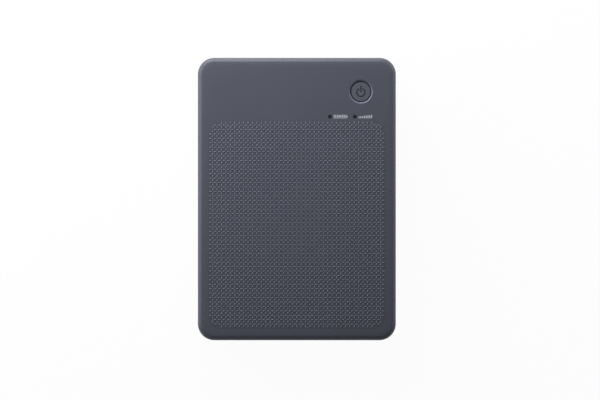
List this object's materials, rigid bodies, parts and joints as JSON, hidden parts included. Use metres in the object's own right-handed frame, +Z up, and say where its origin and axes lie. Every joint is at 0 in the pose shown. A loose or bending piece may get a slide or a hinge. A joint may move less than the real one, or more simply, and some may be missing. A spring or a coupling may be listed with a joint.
{
  "type": "compact photo printer",
  "caption": "Flat battery photo printer with a rear-hinged lid, paper outlet slot, power button and a sprung lid release lever.",
  "frame": {"origin": "centre of the footprint, on the surface that the feet rest on", "axes": "+X across the width, +Y along the length towards the paper outlet, +Z up"},
  "size_m": [0.1022, 0.1458, 0.0329],
  "materials": {
    "case": "fine-textured satin",
    "button": "satin",
    "inner_plastic": "moulded, matt",
    "cassette": "moulded, matt",
    "rubber": "matt",
    "steel": "rolled sheet and turned bar",
    "aluminium": "extruded",
    "brass": "sintered and turned",
    "battery": "laminated pouch",
    "board": "solder resist",
    "chip": "moulded",
    "module": "solder resist",
    "ivory_plastic": "moulded",
    "gear": "moulded acetal",
    "ribbon": "thin film",
    "ribbon_roll": "wound film",
    "spool": "moulded",
    "ceramic": "fired",
    "paper": "coated sheets",
    "lens": "smoked, polished",
    "lead": "insulated wire"
  },
  "bodies": {
    "base": {"base_case": "case", "rubber_feet": "rubber", "hinge_pins": "steel", "paper_tray": "inner_plastic", "left_side_frame": "steel", "right_side_frame": "steel", "frame_bridge": "inner_plastic", "battery_pack": "battery", "main_board": "board", "board_chips": "chip", "shield_can": "steel", "wireless_module": "module", "board_connectors": "ivory_plastic", "usb_port": "steel", "drive_motor": "steel", "gear_studs": "steel", "shaft_bushes": "brass", "case_screws": "steel", "frame_screws": "steel", "board_screws": "steel", "cassette_lower_shell": "cassette", "cassette_upper_shell": "cassette", "ribbon_web": "ribbon", "wiring_leads": "lead", "lever_spring": "steel", "lift_springs": "steel"},
    "lever": {"open_lever": "button", "latch_hook": "steel"},
    "lid": {"lid_shell": "case", "button_board": "board", "button_board_parts": "ivory_plastic", "lamp_lenses": "lens", "lid_catch": "steel", "head_carrier": "steel", "head_springs": "steel", "button_spring": "steel", "lid_screws": "steel"},
    "head": {"head_bracket": "steel", "head_heatsink": "aluminium", "thermal_head": "ceramic"},
    "button": {"power_button": "button"},
    "lift_plate": {"lift_plate": "steel", "paper_stack": "paper"},
    "platen": {"platen_roller": "rubber", "platen_shaft": "steel", "platen_gear": "gear"},
    "capstan": {"capstan_roller": "steel", "capstan_gear": "gear"},
    "pinch": {"pinch_roller": "rubber"},
    "pickup": {"pickup_tyres": "rubber", "pickup_shaft": "steel", "pickup_gear": "gear"},
    "motor_pinion": {"motor_pinion": "brass"},
    "idler_1": {"idler_gear_1": "gear"},
    "idler_2": {"idler_gear_2": "gear"},
    "idler_3": {"idler_gear_3": "gear"},
    "idler_4": {"idler_gear_4": "gear"},
    "takeup": {"takeup_spool": "spool", "takeup_gear": "gear"},
    "supply": {"supply_spool": "ribbon_roll"}
  },
  "joints": [
    {"name": "lid_hinge", "type": "hinge", "parent": "base", "child": "lid", "pos_m": [0, -0.0697, 0.0186], "axis": [1, 0, 0], "range_deg": [0, 80]},
    {"name": "head_slide", "type": "slide", "parent": "lid", "child": "head", "axis": [0, 0, 1], "range_m": [0, 0.0012], "stiffness_N_per_m": 900, "springref_m": -0.002, "deforming": ["head_springs"]},
    {"name": "button_press", "type": "slide", "parent": "lid", "child": "button", "axis": [0, 0, -1], "range_m": [0, 0.00035], "stiffness_N_per_m": 900, "springref_m": -0.0006, "deforming": ["button_spring"]},
    {"name": "lever_slide", "type": "slide", "parent": "base", "child": "lever", "axis": [0, -1, 0], "range_m": [0, 0.003], "stiffness_N_per_m": 400, "springref_m": -0.002, "deforming": ["lever_spring"]},
    {"name": "plate_tilt", "type": "hinge", "parent": "base", "child": "lift_plate", "pos_m": [0, -0.06, 0.01145], "axis": [-1, 0, 0], "range_deg": [0, 1], "stiffness_Nm_per_rad": 1.5, "springref_deg": -2.86, "deforming": ["lift_springs"]},
    {"name": "capstan_spin", "type": "hinge", "parent": "base", "child": "capstan", "pos_m": [0, 0.0651, 0.0105], "axis": [1, 0, 0], "continuous": true},
    {"name": "platen_spin", "type": "hinge", "parent": "base", "child": "platen", "pos_m": [0, 0.04028, 0.0095], "axis": [1, 0, 0], "continuous": true},
    {"name": "pinch_spin", "type": "hinge", "parent": "base", "child": "pinch", "pos_m": [0, 0.0651, 0.0173], "axis": [1, 0, 0], "continuous": true},
    {"name": "pickup_spin", "type": "hinge", "parent": "base", "child": "pickup", "pos_m": [0, 0.01076, 0.0198], "axis": [1, 0, 0], "continuous": true},
    {"name": "motor_spin", "type": "hinge", "parent": "base", "child": "motor_pinion", "pos_m": [0, 0.02608, 0.00822], "axis": [1, 0, 0], "continuous": true},
    {"name": "idler_1_spin", "type": "hinge", "parent": "base", "child": "idler_1", "pos_m": [0, 0.03144, 0.01416], "axis": [1, 0, 0], "continuous": true},
    {"name": "idler_2_spin", "type": "hinge", "parent": "base", "child": "idler_2", "pos_m": [0, 0.05314, 0.01144], "axis": [1, 0, 0], "continuous": true},
    {"name": "idler_3_spin", "type": "hinge", "parent": "base", "child": "idler_3", "pos_m": [0, 0.06105, 0.01909], "axis": [1, 0, 0], "continuous": true},
    {"name": "idler_4_spin", "type": "hinge", "parent": "base", "child": "idler_4", "pos_m": [0, 0.02175, 0.01938], "axis": [1, 0, 0], "continuous": true},
    {"name": "takeup_spin", "type": "hinge", "parent": "base", "child": "takeup", "pos_m": [0, 0.05346, 0.0216], "axis": [1, 0, 0], "continuous": true},
    {"name": "supply_spin", "type": "hinge", "parent": "base", "child": "supply", "pos_m": [0, 0.02578, 0.0216], "axis": [1, 0, 0], "continuous": true}
  ],
  "couplings": [
    {"joint": "platen_spin", "follows": "capstan_spin", "ratio": 0.8},
    {"joint": "idler_1_spin", "follows": "capstan_spin", "ratio": -0.8},
    {"joint": "motor_spin", "follows": "capstan_spin", "ratio": 1.3333},
    {"joint": "idler_4_spin", "follows": "capstan_spin", "ratio": 0.66667},
    {"joint": "pickup_spin", "follows": "capstan_spin", "ratio": -0.8},
    {"joint": "idler_2_spin", "follows": "capstan_spin", "ratio": -0.5},
    {"joint": "idler_3_spin", "follows": "capstan_spin", "ratio": 1.3333},
    {"joint": "takeup_spin", "follows": "capstan_spin", "ratio": -0.8},
    {"joint": "supply_spin", "follows": "capstan_spin", "ratio": -1},
    {"joint": "pinch_spin", "follows": "capstan_spin", "ratio": -1.6}
  ]
}
